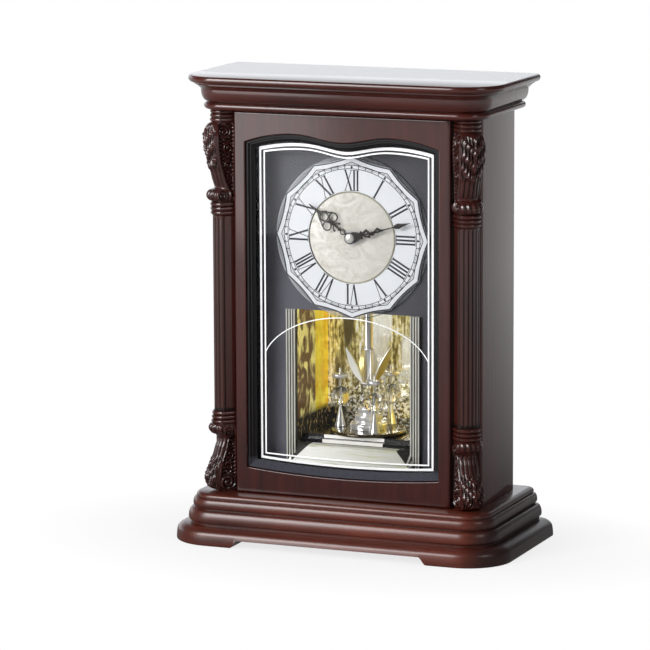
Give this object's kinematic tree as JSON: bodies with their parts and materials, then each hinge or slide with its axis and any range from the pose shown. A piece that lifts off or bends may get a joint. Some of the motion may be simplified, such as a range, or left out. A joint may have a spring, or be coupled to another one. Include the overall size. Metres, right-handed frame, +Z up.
{
  "type": "pendulum desk clock",
  "caption": "Desk clock in a lacquered wooden case with carved corner columns, a glazed bow-topped front, a pointed dial and a turning crystal pendulum in a mirrored chamber.",
  "frame": {"origin": "centre of the base's bounding rectangle, on the surface that the clock stands on", "axes": "+X to the clock's right as seen from its front, +Y from the front to the back, +Z up"},
  "size_m": [0.258, 0.126, 0.34],
  "materials": {
    "lacquer": "high gloss dark brown-red lacquer",
    "black_gloss": "gloss",
    "clear_glass": "polished",
    "mask_grey": "dark blue-grey, satin",
    "cream_metal": "pale champagne, polished",
    "gold_mirror": "gold mirror",
    "chrome": "polished",
    "crystal": "cut, clear",
    "dial_white": "white, satin",
    "dial_clear": "clear acrylic",
    "pearl": "mother-of-pearl look",
    "gold_trim": "polished",
    "hand_black": "black, satin",
    "black_plastic": "matt",
    "cell_jacket": "printed jacket, plain",
    "steel": "satin",
    "rotor_bronze": "dark bronze, gloss"
  },
  "bodies": {
    "case": {"base_bottom_board": "lacquer", "base_middle_moulding": "lacquer", "base_top_moulding": "lacquer", "left_side_panel": "lacquer", "right_side_panel": "lacquer", "left_corner_post": "lacquer", "right_corner_post": "lacquer", "cornice_moulding": "lacquer", "top_board": "lacquer", "left_column_foot": "lacquer", "left_column_shaft": "lacquer", "left_column_capital": "lacquer", "right_column_foot": "lacquer", "right_column_shaft": "lacquer", "right_column_capital": "lacquer", "front_frame": "lacquer", "glass_bezel": "black_gloss", "chamber_stage": "black_gloss", "front_glass": "clear_glass", "mask_panel": "mask_grey", "chamber_trim": "cream_metal", "chamber_mirror": "gold_mirror", "dial_plate": "dial_white", "dial_backing": "dial_clear", "pearl_disc": "pearl", "pearl_ring": "gold_trim", "glass_retainer": "black_plastic", "movement_case": "black_plastic", "chamber_ceiling": "black_plastic", "pendulum_drive": "black_plastic", "cell_holder": "black_plastic", "rear_cover": "black_plastic", "speaker": "black_plastic", "aa_cell": "cell_jacket", "c_cell_left": "cell_jacket", "c_cell_right": "cell_jacket", "centre_stem": "steel", "left_hinge_pin": "steel", "right_hinge_pin": "steel"},
    "set_knob": {"set_knob": "black_plastic"},
    "minute_hand": {"minute_hand": "hand_black", "hand_cap": "chrome"},
    "hour_hand": {"hour_hand": "hand_black"},
    "pendulum": {"rotor_disc": "rotor_bronze", "rotor_pedestal": "chrome", "crystal_column": "crystal", "rotor_tube": "chrome", "pendant_rod_1": "chrome", "pendant_rod_2": "chrome", "pendant_rod_3": "chrome", "crystal_ball_1": "crystal", "crystal_ball_2": "crystal", "crystal_ball_3": "crystal", "gold_petal_1": "gold_mirror", "gold_petal_2": "gold_mirror", "gold_petal_3": "gold_mirror"},
    "access_door": {"access_door": "black_plastic"},
    "sound_switch": {"sound_switch": "black_plastic"}
  },
  "joints": [
    {"name": "knob_turn", "type": "hinge", "parent": "case", "child": "set_knob", "pos_m": [0, 0.012, 0.213], "axis": [0, 1, 0], "continuous": true},
    {"name": "minute_turn", "type": "hinge", "parent": "case", "child": "minute_hand", "pos_m": [0, -0.016, 0.224], "axis": [0, 1, 0], "continuous": true},
    {"name": "hour_turn", "type": "hinge", "parent": "case", "child": "hour_hand", "pos_m": [0, -0.015, 0.224], "axis": [0, 1, 0], "continuous": true},
    {"name": "pendulum_spin", "type": "hinge", "parent": "case", "child": "pendulum", "pos_m": [0, 0.02, 0.076], "axis": [0, 0, 1], "continuous": true},
    {"name": "door_swing", "type": "hinge", "parent": "case", "child": "access_door", "pos_m": [0, 0.0573, 0.1778], "axis": [-1, 0, 0], "range_deg": [0, 100]},
    {"name": "sound_slide", "type": "slide", "parent": "case", "child": "sound_switch", "axis": [1, 0, 0], "range_m": [0, 0.004]}
  ],
  "couplings": [
    {"joint": "minute_turn", "follows": "knob_turn", "ratio": 1},
    {"joint": "hour_turn", "follows": "knob_turn", "ratio": 0.083333}
  ]
}
